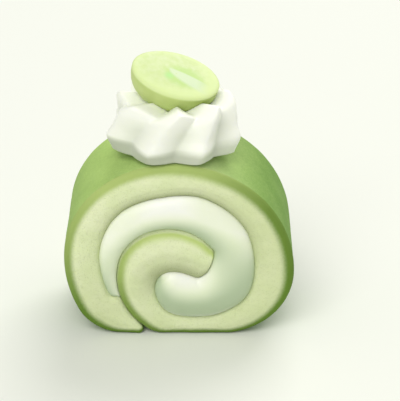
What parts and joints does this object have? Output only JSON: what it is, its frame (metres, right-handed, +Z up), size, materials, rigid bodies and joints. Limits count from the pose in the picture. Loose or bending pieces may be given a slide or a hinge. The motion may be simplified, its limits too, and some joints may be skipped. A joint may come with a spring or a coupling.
{
  "type": "swiss roll slice",
  "caption": "Thick slice of green tea swiss roll on its rolled edge: a spiral of sponge round whipped cream, topped with a piped cream rosette and half a green grape.",
  "frame": {"origin": "bottom centre of the bounding box, under the slice's middle, on the surface it stands on", "axes": "+Z up; the cut faces look along -Y and +Y; +X to the right as seen from the front (-Y), so the roll's seam is low on the -X side of that view"},
  "size_m": [0.0808, 0.046, 0.0977],
  "materials": {
    "sponge": "fine soft crumb, pale yellow-green on the cut faces, with a green skin on the rolled side",
    "cream": "smooth whipped cream, white with a faint green tint, soft sheen",
    "grape": "moist green grape, paler on the cut face, with a whitish core"
  },
  "bodies": {
    "root": {"sponge_sheet": "sponge", "cream_filling": "cream", "cream_rosette": "cream", "grape_half": "grape"}
  },
  "joints": []
}
